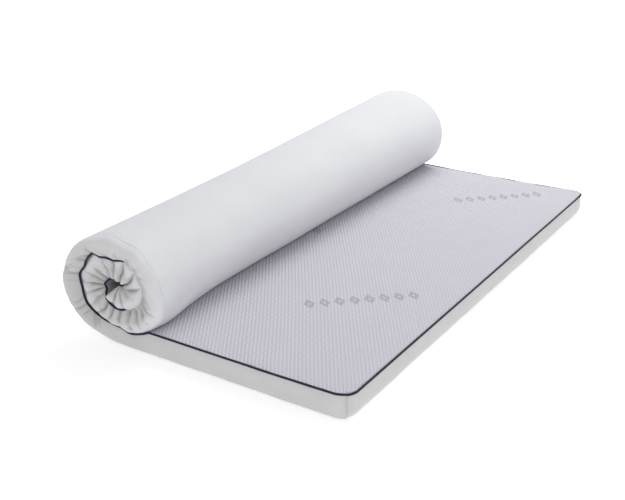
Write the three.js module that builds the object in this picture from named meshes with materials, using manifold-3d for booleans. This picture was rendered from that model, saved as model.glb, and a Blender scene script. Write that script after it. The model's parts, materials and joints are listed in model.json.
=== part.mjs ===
// A thick foam mattress overlay in a zipped knit cover, half rolled up on a flat surface.
// Millimetres, +Z up. X runs along the mattress, from the roll (-X) to the free foot end (+X), Y runs
// across it, and the zip is on the +Y side. The foot end can fold up about a line across the mattress,
// so every long piece is made in two: a main part, and a foot part beyond the fold line.
import * as THREE from 'three';
import Module from 'manifold-3d';

// Driving dimensions.
const WIDTH = 1500; // over the piping
const THICKNESS = 61; // of the flat mattress, cover included
const FREE_END = 626; // from the roll's lowest line to the foot end, over the piping
const FOLD = 330; // the fold line's distance from the same line
const GAP = 0.4; // left between pieces that touch

// Layers, from the floor up; the memory foam takes the height that is left.
const BOTTOM_PANEL = 1.4;
const TOP_PANEL = 2;
const LINER = 0.8;
const SUPPORT_FOAM = 30;

// Cover edges.
const BORDER = 1.4;
const PIPING = 4.4; // diameter
const PIPING_SIDES = 6;

// The roll: a spiral, tighter at the near end (-Y) than at the far end (+Y).
const RADIUS_NEAR = 160.7;
const RADIUS_FAR = 181.4;
const FAR_SHIFT = -37.5; // how far back the far end of the roll lies
const PITCH = 52; // how much nearer the centre each turn lies
const TURNS = 2.125;
const SQUEEZE = 0.77; // thickness left in the rolled turns
const SETTLE = 0.927; // the roll is this much lower, and as much wider, than a round one
const STEP = 15; // degrees between the spiral's flats
const PRESSED_FLAT = 20; // the roll presses the flat mattress down as far as this,
const PRESSED_END = 120; // and it is back to its full thickness here
const PRESSED_PARTS = 3; // flats between those two
const TAIL = 10; // straight length at the head end, in the middle of the roll

// Zip.
const ZIP_HEIGHT = 30.5;
const COIL_WIDTH = 5.6; // both halves together
const COIL_DEPTH = 2.2;
const TAPE_WIDTH = 6; // of each tape that shows
const TAPE_THICKNESS = 0.8;
const COIL_END_INSET = 30; // from the cover's end to the coil's
const STOP_LENGTH = 3;
const SLIDER_LENGTH = 11;
const SLIDER_WIDTH = 9;
const SLIDER_PLATE = 0.8;
const BRIDGE_WIDTH = 2.4;
const BRIDGE_HALF_LENGTH = 4.2;
const BRIDGE_STRAP = 0.9;
const BRIDGE_CLEAR = 1.6; // room under the bridge for the pull's bar
const PULL_LENGTH = 24;
const PULL_WIDTH = 7;
const PULL_THICKNESS = 1;
const PULL_SLOT_LENGTH = 4.4;
const PULL_SLOT_WIDTH = 3.8;

const LABEL_LENGTH = 50;
const LABEL_HEIGHT = 16;
const LABEL_THICKNESS = 0.6;
const LABEL_X = 120;

// Worked out from those.
const COVER_HALF = WIDTH / 2 - PIPING - GAP;
const COVER_END = FREE_END - PIPING - GAP;
const LINER_HALF = COVER_HALF - BORDER - GAP;
const FOAM_HALF = LINER_HALF - LINER - GAP;
const LINER_FLOOR = BOTTOM_PANEL + GAP;
const FOAM_FLOOR = LINER_FLOOR + LINER + GAP;
const FOAM_SPLIT = FOAM_FLOOR + SUPPORT_FOAM;
const TOP_FLOOR = THICKNESS - TOP_PANEL;
const LINER_TOP = TOP_FLOOR - GAP;
const FOAM_TOP = LINER_TOP - LINER - GAP;
const PIPING_HEIGHT = THICKNESS - PIPING / 2;
const BORDER_FLOOR = BOTTOM_PANEL + GAP;
const BORDER_TOP = TOP_FLOOR - GAP;
const ROLL_END = 360 * TURNS;

// Places on the mattress. Each maker returns a function from (y across, height in the thickness) to space.

function lerpAcross(near, far, y) {
  return THREE.MathUtils.lerp(near, far, y / WIDTH + 0.5);
}

// On the flat mattress, x from the roll's lowest line.
function flatAt(x) {
  const pressed = 1 - THREE.MathUtils.smoothstep(x, PRESSED_FLAT, PRESSED_END);
  const thickness = 1 - (1 - SQUEEZE) * pressed;
  const shiftShare = Math.max(0, 1 - x / FOLD);
  return (y, height) =>
    new THREE.Vector3(x + shiftShare * lerpAcross(0, FAR_SHIFT, y), y, height * thickness);
}

// The underside of the mattress in the roll, which is the outside of the turn.
function outsideOfTurn(degrees, y) {
  const radius = lerpAcross(RADIUS_NEAR, RADIUS_FAR, y);
  const reach = radius - (PITCH * degrees) / 360;
  const angle = THREE.MathUtils.degToRad(degrees);
  const x = lerpAcross(0, FAR_SHIFT, y) - (reach * Math.sin(angle)) / SETTLE;
  const z = (radius - reach * Math.cos(angle)) * SETTLE;
  return new THREE.Vector3(x, y, z);
}

function alongTurn(degrees, y) {
  const ahead = outsideOfTurn(degrees + 0.5, y);
  const behind = outsideOfTurn(degrees - 0.5, y);
  return ahead.sub(behind).normalize();
}

function inwardOf(direction) {
  return new THREE.Vector3(direction.z, 0, -direction.x);
}

// In the roll, by the angle turned from the roll's lowest line.
function rollAt(degrees) {
  return (y, height) => {
    const inward = inwardOf(alongTurn(degrees, y));
    return outsideOfTurn(degrees, y).addScaledVector(inward, height * SQUEEZE);
  };
}

// In the straight head end, by the distance beyond the last turn.
function tailAt(distance) {
  return (y, height) => {
    const along = alongTurn(ROLL_END, y);
    return rollAt(ROLL_END)(y, height).addScaledVector(along, distance);
  };
}

// Solids.

// Joins rings of points into one closed solid. contour and hole are the first ring's outlines in its own
// plane, counter-clockwise and clockwise as seen from outside that end.
function loft(contour, hole, rings) {
  const holes = hole.length > 0 ? [hole] : [];
  const cap = THREE.ShapeUtils.triangulateShape([...contour], holes.map((outline) => [...outline]));
  const perRing = contour.length + hole.length;
  const lastRing = perRing * (rings.length - 1);
  const indices = [];
  for (const [a, b, c] of cap) {
    indices.push(a, b, c);
    indices.push(lastRing + c, lastRing + b, lastRing + a);
  }
  const loops = [{ first: 0, count: contour.length }, { first: contour.length, count: hole.length }];
  for (let ring = 0; ring < rings.length - 1; ring += 1) {
    for (const { first, count } of loops) {
      for (let corner = 0; corner < count; corner += 1) {
        const a = ring * perRing + first + corner;
        const b = ring * perRing + first + ((corner + 1) % count);
        indices.push(a, a + perRing, b);
        indices.push(b, a + perRing, b + perRing);
      }
    }
  }
  const geometry = new THREE.BufferGeometry().setFromPoints(rings.flat());
  geometry.setIndex(indices);
  geometry.computeVertexNormals();
  return geometry;
}

// An outline across the mattress, swept along it through the places given, from the foot towards the head.
function sweep(outline, places, hole = []) {
  const corners = [...outline, ...hole];
  const rings = places.map((place) => corners.map((corner) => place(corner.x, corner.y)));
  return loft(outline, hole, rings);
}

function rectangle(y0, y1, low, high) {
  return [
    new THREE.Vector2(y0, low),
    new THREE.Vector2(y1, low),
    new THREE.Vector2(y1, high),
    new THREE.Vector2(y0, high),
  ];
}

function polygon(x, y, radius, sides) {
  const corners = [];
  for (let corner = 0; corner < sides; corner += 1) {
    const angle = (2 * Math.PI * (corner + 0.5)) / sides;
    corners.push(new THREE.Vector2(x + radius * Math.cos(angle), y + radius * Math.sin(angle)));
  }
  return corners;
}

// A round cord across the mattress, from one cover edge to the other. placeAt(x) gives its place.
function cordAcross(placeAt, centre) {
  const outline = polygon(centre, PIPING_HEIGHT, PIPING / 2, PIPING_SIDES);
  const rings = [-COVER_HALF, COVER_HALF].map((y) => outline.map((corner) => placeAt(corner.x)(y, corner.y)));
  return loft(outline, [], rings);
}

// The places that a long piece passes through.
function mainPlaces(lastDegrees = ROLL_END) {
  const places = [flatAt(FOLD - GAP / 2)];
  for (let part = 0; part <= PRESSED_PARTS; part += 1) {
    places.push(flatAt(THREE.MathUtils.lerp(PRESSED_END, PRESSED_FLAT, part / PRESSED_PARTS)));
  }
  for (let degrees = 0; degrees <= lastDegrees; degrees += STEP) {
    places.push(rollAt(degrees));
  }
  return places;
}

function mainPlacesToTail() {
  return [...mainPlaces(), tailAt(TAIL)];
}

function footPlaces(end) {
  return [flatAt(end), flatAt(FOLD + GAP / 2)];
}

// Booleans.
const wasm = await Module();
wasm.setup();

function toManifold(geometry) {
  const indexed = geometry.index ? geometry : mergeByPosition(geometry);
  const vertProperties = new Float32Array(indexed.attributes.position.array);
  const triVerts = new Uint32Array(indexed.index.array);
  return new wasm.Manifold(new wasm.Mesh({ numProp: 3, vertProperties, triVerts }));
}

function mergeByPosition(geometry) {
  const seen = new Map();
  const points = [];
  const indices = [];
  const position = geometry.attributes.position;
  for (let vertex = 0; vertex < position.count; vertex += 1) {
    const point = new THREE.Vector3().fromBufferAttribute(position, vertex);
    const key = point.toArray().map((value) => value.toFixed(4)).join();
    if (!seen.has(key)) {
      seen.set(key, points.length);
      points.push(point);
    }
    indices.push(seen.get(key));
  }
  const merged = new THREE.BufferGeometry().setFromPoints(points);
  merged.setIndex(indices);
  return merged;
}

function joined(first, second) {
  const mesh = toManifold(first).add(toManifold(second)).getMesh();
  const geometry = new THREE.BufferGeometry();
  geometry.setAttribute('position', new THREE.BufferAttribute(new Float32Array(mesh.vertProperties), 3));
  geometry.setIndex([...mesh.triVerts]);
  geometry.computeVertexNormals();
  return geometry;
}

// Materials.
function finish(color, roughness, metalness = 0) {
  return { color, roughness, metalness };
}

const TOP_KNIT = finish(0xd8d4e4, 0.85);
const WHITE_KNIT = finish(0xe6e8ec, 0.8);
const BORDER_KNIT = finish(0xd2d0d6, 0.85);
const PIPING_CORD = finish(0x241a52, 0.6);
const MEMORY_FOAM = finish(0xd9cdea, 0.95);
const BASE_FOAM = finish(0xf1ecdc, 0.95);
const LINER_CLOTH = finish(0xf5f5f2, 0.9);
const ZIP_TAPE = finish(0xdedce2, 0.85);
const ZIP_COIL = finish(0xc9c7cf, 0.45);
const ZIP_METAL = finish(0xb8bbc0, 0.35, 0.9);
const LABEL_CLOTH = finish(0xf7f7f7, 0.7);

const model = new THREE.Group();

function addPiece(name, geometry, look) {
  const mesh = new THREE.Mesh(geometry, new THREE.MeshStandardMaterial(look));
  mesh.name = name;
  model.add(mesh);
  return mesh;
}

// A long piece in two, with the foot part ending at end.
function addLongPiece(name, outline, look, end, hole = []) {
  addPiece(name, sweep(outline, mainPlacesToTail(), hole), look);
  addPiece(`${name}_foot`, sweep(outline, footPlaces(end), hole), look);
}

// Foam core and its liner sleeve.
function addCore() {
  const coreEnd = COVER_END - BORDER - GAP;
  const support = rectangle(-FOAM_HALF, FOAM_HALF, FOAM_FLOOR, FOAM_SPLIT);
  const memory = rectangle(-FOAM_HALF, FOAM_HALF, FOAM_SPLIT + GAP, FOAM_TOP);
  const sleeve = rectangle(-LINER_HALF, LINER_HALF, LINER_FLOOR, LINER_TOP);
  const inside = rectangle(1 - LINER_HALF, LINER_HALF - 1, LINER_FLOOR + LINER, LINER_TOP - LINER);
  addLongPiece('support_foam', support, BASE_FOAM, coreEnd);
  addLongPiece('memory_foam', memory, MEMORY_FOAM, coreEnd);
  addLongPiece('inner_liner', sleeve, LINER_CLOTH, coreEnd, inside.reverse());
}

// Top panel, and bottom panel with the turned part apart from the part that lies on the floor.
function addPanels() {
  const top = rectangle(-COVER_HALF, COVER_HALF, TOP_FLOOR, THICKNESS);
  const bottom = rectangle(-COVER_HALF, COVER_HALF, 0, BOTTOM_PANEL);
  const places = mainPlacesToTail();
  const lifted = mainPlaces(STEP).length; // the places up to the first flat that is clear of the floor
  addLongPiece('top_panel', top, TOP_KNIT, COVER_END);
  addPiece('bottom_panel', sweep(bottom, places.slice(0, lifted)), WHITE_KNIT);
  addPiece('bottom_panel_foot', sweep(bottom, footPlaces(COVER_END)), WHITE_KNIT);
  const turned = sweep(bottom, [rollAt(STEP + 0.2), ...places.slice(lifted)]);
  addPiece('bottom_panel_roll', turned, WHITE_KNIT);
}

// Side walls of the cover. The zip parts the far wall into two bands.
function addBorders() {
  const sideEnd = COVER_END - BORDER - GAP;
  const inner = COVER_HALF - BORDER;
  const zipHalf = COIL_WIDTH / 2 + TAPE_WIDTH + 2 * GAP;
  const near = rectangle(-COVER_HALF, -inner, BORDER_FLOOR, BORDER_TOP);
  const upper = rectangle(inner, COVER_HALF, ZIP_HEIGHT + zipHalf, BORDER_TOP);
  const lower = rectangle(inner, COVER_HALF, BORDER_FLOOR, ZIP_HEIGHT - zipHalf);
  addLongPiece('near_border', near, BORDER_KNIT, sideEnd);
  addLongPiece('far_border_upper', upper, BORDER_KNIT, sideEnd);
  addLongPiece('far_border_lower', lower, BORDER_KNIT, sideEnd);
  const across = rectangle(-COVER_HALF, COVER_HALF, BORDER_FLOOR, BORDER_TOP);
  const footWall = sweep(across, [flatAt(COVER_END), flatAt(COVER_END - BORDER)]);
  addPiece('foot_border', footWall, BORDER_KNIT);
  const headWall = sweep(across, [tailAt(TAIL + GAP), tailAt(TAIL + GAP + BORDER)]);
  addPiece('head_border', headWall, BORDER_KNIT);
}

// Corded piping round the top panel's edge.
function addPiping() {
  const side = COVER_HALF + GAP + PIPING / 2;
  const near = polygon(-side, PIPING_HEIGHT, PIPING / 2, PIPING_SIDES);
  const far = polygon(side, PIPING_HEIGHT, PIPING / 2, PIPING_SIDES);
  addLongPiece('near_piping', near, PIPING_CORD, FREE_END);
  addLongPiece('far_piping', far, PIPING_CORD, FREE_END);
  addPiece('foot_piping', cordAcross(flatAt, COVER_END + GAP + PIPING / 2), PIPING_CORD);
  const beyondHead = TAIL + GAP + BORDER + GAP + PIPING / 2;
  addPiece('head_piping', cordAcross((x) => tailAt(-x), -beyondHead), PIPING_CORD);
}

// Zip chain: two tapes and two coils along the far wall, and a stop at each end of the coils.
function addZipChain() {
  const tapeEnd = COVER_END - BORDER - GAP;
  const coilEnd = COVER_END - COIL_END_INSET;
  const coilFace = COVER_HALF + TAPE_THICKNESS;
  const coilBack = coilFace - COIL_DEPTH;
  const tapeFace = COVER_HALF - GAP;
  for (const [side, sign] of [['upper', 1], ['lower', -1]]) {
    const coilNear = ZIP_HEIGHT + (sign * GAP) / 2;
    const coilFar = ZIP_HEIGHT + (sign * COIL_WIDTH) / 2;
    const tapeNear = coilFar + sign * GAP;
    const tapeFar = tapeNear + sign * TAPE_WIDTH;
    const coil = rectangle(coilBack, coilFace, Math.min(coilNear, coilFar), Math.max(coilNear, coilFar));
    const tapeLow = Math.min(tapeNear, tapeFar);
    const tapeHigh = Math.max(tapeNear, tapeFar);
    const tape = rectangle(tapeFace - TAPE_THICKNESS, tapeFace, tapeLow, tapeHigh);
    addLongPiece(`zip_tape_${side}`, tape, ZIP_TAPE, tapeEnd);
    addPiece(`zip_coil_${side}`, sweep(coil, mainPlaces()), ZIP_COIL);
    addPiece(`zip_coil_${side}_foot`, sweep(coil, footPlaces(coilEnd)), ZIP_COIL);
  }
  const halfCoil = COIL_WIDTH / 2;
  const stop = rectangle(coilBack, coilFace, ZIP_HEIGHT - halfCoil, ZIP_HEIGHT + halfCoil);
  const footStop = sweep(stop, [flatAt(coilEnd + GAP + STOP_LENGTH), flatAt(coilEnd + GAP)]);
  addPiece('zip_stop_foot', footStop, ZIP_METAL);
  addPiece('zip_stop_head', sweep(stop, [tailAt(GAP), tailAt(GAP + STOP_LENGTH)]), ZIP_METAL);
}

// Zip slider and its pull, parked at the foot end. They are made round the pull's pivot, with the far
// wall's face along X and Z, and +Y away from the mattress.
function roundedPlate(length, width, thickness, corner, slot) {
  const shape = new THREE.Shape();
  const [x0, x1] = length;
  const half = width / 2;
  shape.moveTo(x0, -half + corner);
  shape.lineTo(x0, half - corner);
  shape.quadraticCurveTo(x0, half, x0 + corner, half);
  shape.lineTo(x1 - corner, half);
  shape.quadraticCurveTo(x1, half, x1, half - corner);
  shape.lineTo(x1, -half + corner);
  shape.quadraticCurveTo(x1, -half, x1 - corner, -half);
  shape.lineTo(x0 + corner, -half);
  shape.quadraticCurveTo(x0, -half, x0, -half + corner);
  if (slot) {
    shape.holes.push(new THREE.Path(rectangle(slot.x0, slot.x1, -slot.width / 2, slot.width / 2)));
  }
  const options = { depth: thickness, bevelEnabled: false, curveSegments: 4 };
  return mergeByPosition(new THREE.ExtrudeGeometry(shape, options).rotateX(Math.PI / 2));
}

function bridge(foot) {
  const inner = BRIDGE_HALF_LENGTH - BRIDGE_STRAP;
  const roof = BRIDGE_CLEAR / 2;
  const crown = roof + BRIDGE_STRAP;
  const bevel = BRIDGE_STRAP / 2;
  const outline = [
    [-BRIDGE_HALF_LENGTH, foot],
    [-inner, foot],
    [-inner, roof],
    [inner, roof],
    [inner, foot],
    [BRIDGE_HALF_LENGTH, foot],
    [BRIDGE_HALF_LENGTH, crown - bevel],
    [BRIDGE_HALF_LENGTH - bevel, crown],
    [-BRIDGE_HALF_LENGTH + bevel, crown],
    [-BRIDGE_HALF_LENGTH, crown - bevel],
  ];
  const shape = new THREE.Shape(outline.map(([x, y]) => new THREE.Vector2(x, y)));
  const strap = new THREE.ExtrudeGeometry(shape, { depth: BRIDGE_WIDTH, bevelEnabled: false });
  return mergeByPosition(strap.translate(0, 0, -BRIDGE_WIDTH / 2));
}

function addSlider() {
  const plateFace = COVER_HALF + TAPE_THICKNESS + GAP + SLIDER_PLATE;
  const pivotY = plateFace + BRIDGE_CLEAR / 2;
  const coilEnd = COVER_END - COIL_END_INSET;
  const pivotX = coilEnd - SLIDER_LENGTH / 2 - GAP;
  const halfLength = SLIDER_LENGTH / 2;
  const plate = roundedPlate([-halfLength, halfLength], SLIDER_WIDTH, SLIDER_PLATE, 2);
  plate.translate(0, plateFace - pivotY, 0);
  const strap = bridge(plateFace - SLIDER_PLATE / 2 - pivotY);
  const slider = addPiece('zip_slider', joined(plate, strap), ZIP_METAL);
  slider.position.set(pivotX, pivotY, ZIP_HEIGHT);
  const barHalf = PULL_THICKNESS / 2;
  const slot = { x0: -barHalf - PULL_SLOT_LENGTH, x1: -barHalf, width: PULL_SLOT_WIDTH };
  const tab = roundedPlate([-PULL_LENGTH, barHalf], PULL_WIDTH, PULL_THICKNESS, barHalf, slot);
  tab.translate(0, barHalf, 0);
  const pull = addPiece('zip_pull', tab, ZIP_METAL);
  pull.position.copy(slider.position);
}

// Blank care label, sewn flat on the far wall under the zip.
function addLabel() {
  const back = COVER_HALF + GAP;
  const low = BORDER_FLOOR + 1;
  const outline = rectangle(back, back + LABEL_THICKNESS, low, low + LABEL_HEIGHT);
  const label = sweep(outline, [flatAt(LABEL_X + LABEL_LENGTH), flatAt(LABEL_X)]);
  addPiece('care_label', label, LABEL_CLOTH);
}

addCore();
addPanels();
addBorders();
addPiping();
addZipChain();
addSlider();
addLabel();

// The origin is under the middle of the whole outline, on the floor.
const outline = new THREE.Box3().setFromObject(model);
model.position.x = -outline.getCenter(new THREE.Vector3()).x;
model.updateMatrixWorld(true);

export default model;
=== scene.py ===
"""Looks of the rolled mattress overlay: cover cloths, piping, foam cores, liner, zip and label.

Every soft piece is laid out on the flat mattress first, then place() rolls the head end up.
Three coordinates give a point of the flat mattress:
    station  metres from the line where the roll starts, towards the foot. Below 0 it is an angle:
             minus the turn of the roll, in radians
    y        across the mattress, in metres; the near side is at -HALF
    height   metres above the underside, before the roll squeezes the layers
"""

import math

import bpy
import numpy as np
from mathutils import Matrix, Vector
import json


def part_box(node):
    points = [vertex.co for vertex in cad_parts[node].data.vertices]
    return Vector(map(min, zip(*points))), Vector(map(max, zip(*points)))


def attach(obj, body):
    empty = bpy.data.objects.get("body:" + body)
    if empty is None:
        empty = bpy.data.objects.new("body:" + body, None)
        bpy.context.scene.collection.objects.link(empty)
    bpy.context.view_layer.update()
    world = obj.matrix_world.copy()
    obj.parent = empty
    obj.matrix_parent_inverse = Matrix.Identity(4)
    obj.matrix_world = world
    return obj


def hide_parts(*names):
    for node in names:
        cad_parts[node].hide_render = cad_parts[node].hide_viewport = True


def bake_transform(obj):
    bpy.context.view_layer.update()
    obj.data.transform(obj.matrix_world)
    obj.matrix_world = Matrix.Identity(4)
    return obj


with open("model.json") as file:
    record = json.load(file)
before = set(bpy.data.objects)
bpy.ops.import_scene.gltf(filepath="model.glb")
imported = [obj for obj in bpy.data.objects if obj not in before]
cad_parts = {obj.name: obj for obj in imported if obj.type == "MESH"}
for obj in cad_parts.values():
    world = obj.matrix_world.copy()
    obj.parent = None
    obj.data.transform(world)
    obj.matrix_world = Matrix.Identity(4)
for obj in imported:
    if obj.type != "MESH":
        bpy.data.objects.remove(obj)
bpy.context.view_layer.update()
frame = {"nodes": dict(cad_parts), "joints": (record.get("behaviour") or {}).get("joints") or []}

# -------- driving sizes, from the frame

FOLD_AXIS = next(joint["pos_m"] for joint in frame["joints"] if joint["name"] == "foot_fold")
FOLD_X = FOLD_AXIS[0]
FOLD = 0.330  # station of the fold
LINE_X = FOLD_X - FOLD  # where the roll starts, at the near side
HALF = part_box("top_panel_foot")[1].y  # half the cover's width
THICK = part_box("top_panel_foot")[1].z  # height of the top seam
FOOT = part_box("foot_border")[1].x - LINE_X  # station of the foot-end wall

TURN = 2 * math.pi
HEAD_TURN = 2.125 * TURN  # turn at which the head end lies
NEAR_RADIUS = 0.1607  # of the roll's underside at its first turn
FAR_RADIUS = 0.1814
RADIUS_EASE = 1.6  # above 1, the roll sags between its ends
FAR_SHIFT = -0.0375  # the far end of the roll stands further back
PITCH = 0.052  # radius lost in one turn
SETTLE = 0.927  # the roll is this much lower than round
TURN_GAP = 0.0015  # air between one turn and the next
FREE_THICK = 0.060  # thickness of the second turn, which isn't squeezed
SQUEEZE_BLUR = 0.0018  # rounds the edge between squeezed and free thickness
LINE_EASE = 0.1  # over this much of the flat, layers turn upright
INNER_RECESS = 0.005  # the second turn stands in from the near end
MEAN_RADIUS = 0.147  # of the middle layer, for lengths along the roll

CORNER = 0.036  # plan radius of the foot corners
CORNER_WALL = 0.060  # length of wall over which a corner takes up an outset

PANEL_CLOTH = 0.0016
BORDER_CLOTH = 0.0014
PIPING_RADIUS = 0.0026
PIPING_SHOWS = 0.75  # how far its middle lies outside, in radii

NOISE_SIZE = 64  # wavelengths after which a noise repeats


def value_noise(seed):
    """A smooth noise in -1..1 of two numbers, each in wavelengths.

    In a call, lengths are divided by their wavelength in metres. A number that is added, or that stands
    alone, only picks another part of the noise.
    """
    table = np.random.default_rng(seed).uniform(-1, 1, (NOISE_SIZE, NOISE_SIZE))

    def noise(u, v):
        u, v = np.broadcast_arrays(np.asarray(u, float), np.asarray(v, float))
        column, row = np.floor(u).astype(int), np.floor(v).astype(int)
        fu, fv = u - column, v - row
        fu, fv = fu * fu * (3 - 2 * fu), fv * fv * (3 - 2 * fv)
        corner = [
            table[(column + i) % NOISE_SIZE, (row + j) % NOISE_SIZE]
            for i in (0, 1)
            for j in (0, 1)
        ]
        low = corner[0] * (1 - fv) + corner[1] * fv
        high = corner[2] * (1 - fv) + corner[3] * fv
        return low * (1 - fu) + high * fu

    return noise


seam_noise = value_noise(3)
wave_noise = value_noise(5)
skin_noise = value_noise(8)
pleat_noise = value_noise(13)
wander_noise = value_noise(21)


def smooth(low, high, value):
    t = np.clip((value - low) / (high - low), 0, 1)
    return t * t * (3 - 2 * t)


def mix(low, high, t):
    return low + (high - low) * t


def grid(rows, columns):
    return np.meshgrid(rows, columns, indexing="ij")


def hump(value, middle, width):
    """1 at the middle, falling to 0 on both sides over a few times width."""
    return np.exp(-(((value - middle) / width) ** 2))


def fade(distance, reach):
    """1 at no distance, falling to 0 over a few times reach."""
    return np.exp(-distance / reach)


# -------- the rolled shape


def across(y):
    """0 at the near side, 1 at the far side."""
    return np.clip((y + HALF) / (2 * HALF), 0, 1)


def nearness(y, reach):
    """1 at the near end of the roll, falling to 0 over a few times reach."""
    return hump(np.clip(y, -HALF, HALF), -HALF, reach)


END_REACH = 0.05  # over this much of its length the roll follows its near piping
TOUCH = 0.005  # how far the second turn swells there, to touch the first
CREASE_DEPTH = 0.0065  # of the creases in the underside near the roll's near end

# where the near piping wanders off the even spiral: turn in degrees, metres towards the roll's middle
SEAM_WANDER = (
    (0, 0.004), (12, 0.004), (30, -0.001), (52, -0.010), (76, -0.005),
    (98, -0.010), (118, 0.0), (148, -0.009), (158, 0.005), (182, 0.009),
    (200, 0.0), (270, 0.0), (320, 0.004), (360, 0.0),
)

# how far the near seam is tucked in behind the bulging wall: turn in degrees, metres
SEAM_TUCK = (
    (185, 0.0), (205, 0.013), (335, 0.013), (350, 0.0), (395, 0.0),
    (420, 0.010), (470, 0.002), (520, 0.010), (560, 0.000), (600, 0.009),
    (720, 0.004),
)


def seam_tuck(turn):
    degrees, tuck = zip(*SEAM_TUCK)
    return np.interp(np.degrees(turn), degrees, tuck, left=0)


def seam_wander(turn):
    degrees, inward = zip(*SEAM_WANDER)
    return np.interp(np.degrees(turn), degrees, inward, left=0, right=0)


def slack(turn, y):
    """How far the underside stands out of the even spiral."""
    first = smooth(0.2, 0.9, turn) * (1 - smooth(TURN - 0.25, TURN, turn))
    waves = 0.0022 * skin_noise(turn * 1.3 + 4, y / 0.33 + 9) + 0.0012 * skin_noise(turn * 3.1, y / 0.16)
    creases = skin_noise(turn * 3.4 + y / 0.10, y / 0.075 + 40) * nearness(y, 0.13) * smooth(2.6, 3.6, turn)
    waves = waves + CREASE_DEPTH * creases
    lean = hump(turn, TURN - 0.80, 0.55) * (0.003 + 0.013 * nearness(y, 0.16))
    touch = TOUCH - seam_wander(turn - TURN)
    follow = touch * nearness(y, END_REACH) * smooth(TURN, TURN + 0.2, turn)
    return first * (waves + lean) + follow


def skin(turn, y):
    """x and z of the rolled underside, measured from the line, and its inward normal."""
    t = across(y)
    radius = NEAR_RADIUS + (FAR_RADIUS - NEAR_RADIUS) * t**RADIUS_EASE
    reach = radius - PITCH * turn / TURN
    sin, cos = np.sin(turn), np.cos(turn)
    slope = -PITCH / TURN
    dx = -(slope * sin + reach * cos) / SETTLE
    dz = -(slope * cos - reach * sin) * SETTLE
    size = np.hypot(dx, dz)
    nx, nz = dz / size, -dx / size
    x = FAR_SHIFT * t - reach * sin / SETTLE
    z = (radius - reach * cos) * SETTLE
    return x, z, nx, nz


def roll_above(x, y):
    """Height of the roll's underside over a place on the flat part."""
    t = across(y)
    radius = NEAR_RADIUS + (FAR_RADIUS - NEAR_RADIUS) * t**RADIUS_EASE
    back = np.zeros_like(x)
    for _ in range(6):
        reach = radius - PITCH + PITCH * back / TURN
        drop = slack(TURN - back, y)
        back = np.arcsin(np.clip((x - FAR_SHIFT * t) * SETTLE / (reach + drop), 0, 1))
    reach = radius - PITCH + PITCH * back / TURN + drop
    return (radius - reach * np.cos(back)) * SETTLE


def thickness(station, y):
    """Thickness of the mattress where it lies in the roll, under it, or free."""
    turn, flat = np.maximum(-station, 0), np.maximum(station, 0)
    gap = PITCH / np.sqrt((SETTLE * np.sin(turn)) ** 2 + (np.cos(turn) / SETTLE) ** 2) - TURN_GAP
    rolled = mix(gap, FREE_THICK, smooth(TURN, TURN + 1.4, turn))
    rolled = rolled + seam_wander(turn) * nearness(y, END_REACH)
    x = flat + FAR_SHIFT * across(y) * np.maximum(0, 1 - flat / FOLD)
    room = roll_above(x, y) - TURN_GAP + 0.004 * nearness(y, END_REACH) * np.exp(-flat / 0.08)
    free = -SQUEEZE_BLUR * np.logaddexp(-THICK / SQUEEZE_BLUR, -room / SQUEEZE_BLUR)
    return np.where(station < 0, rolled, free)


def round_corner(station, y):
    """Pulls the square foot corners in to an arc."""
    u, v = station - (FOOT - CORNER), np.abs(y) - (HALF - CORNER)
    inside = (u > 0) & (v > 0)
    size = np.where(inside, np.hypot(u, v), 1)
    scale = np.where(inside, np.maximum(u, v) / np.maximum(size, 1e-9), 1)
    station = np.where(inside, FOOT - CORNER + u * scale, station)
    y = np.where(inside, np.sign(y) * (HALF - CORNER + v * scale), y)
    return station, y


def place(station, y, height, lift=0.0):
    """Point in the frame's axes. height is squeezed with the layers, and lift is added unsqueezed."""
    station, y, height, lift = np.broadcast_arrays(
        *(np.asarray(value, float) for value in (station, y, height, lift))
    )
    station, y = round_corner(station, y)
    turn, flat = np.maximum(-station, 0), np.maximum(station, 0)
    x, z, nx, nz = skin(turn, y)
    nx = nx * (1 - smooth(0, LINE_EASE, flat))
    nz = mix(nz, 1, smooth(0, LINE_EASE, flat))
    share = height / THICK
    rise = share * thickness(station, y) - (1 - share) * slack(turn, y) * (station < 0) + lift
    recess = INNER_RECESS * smooth(TURN + 0.2, TURN + 1.6, turn) * nearness(y, 0.10)
    x = LINE_X + x + nx * rise + flat - FAR_SHIFT * across(y) * np.minimum(flat / FOLD, 1)
    return np.stack([x, y + recess, z + nz * rise], axis=-1)


def length_at(station):
    """Metres of mattress from the line to a station, along the middle layer."""
    turn = np.maximum(-station, 0)
    return np.maximum(station, 0) - (MEAN_RADIUS * turn - PITCH * turn**2 / (2 * TURN))


def stations(step, start=-HEAD_TURN, stop=None):
    """Stations from the head end to the foot end, evenly spaced along the mattress."""
    stop = FOOT if stop is None else stop
    fine = np.concatenate([np.linspace(start, 0, 2000), np.linspace(0, max(stop, 0), 400)[1:]])
    lengths = length_at(fine)
    count = max(4, int(round((length_at(np.array(stop)) - lengths[0]) / step)))
    return np.interp(np.linspace(lengths[0], length_at(np.array(stop)), count + 1), lengths, fine)


def spread(low, high, step, edge_step, edge):
    """Places from low to high that are closer together near both ends."""
    fine = np.linspace(low, high, 4000)
    from_end = np.minimum(fine - low, high - fine)
    density = 1 / mix(edge_step, step, smooth(edge * 0.6, edge * 1.6, from_end))
    total = np.concatenate([[0], np.cumsum((density[1:] + density[:-1]) / 2 * np.diff(fine))])
    return np.interp(np.linspace(0, total[-1], int(round(total[-1])) + 1), total, fine)


# -------- meshes


def add_object(name, data):
    thing = bpy.data.objects.new(name, data)
    bpy.context.scene.collection.objects.link(thing)
    return thing


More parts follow.
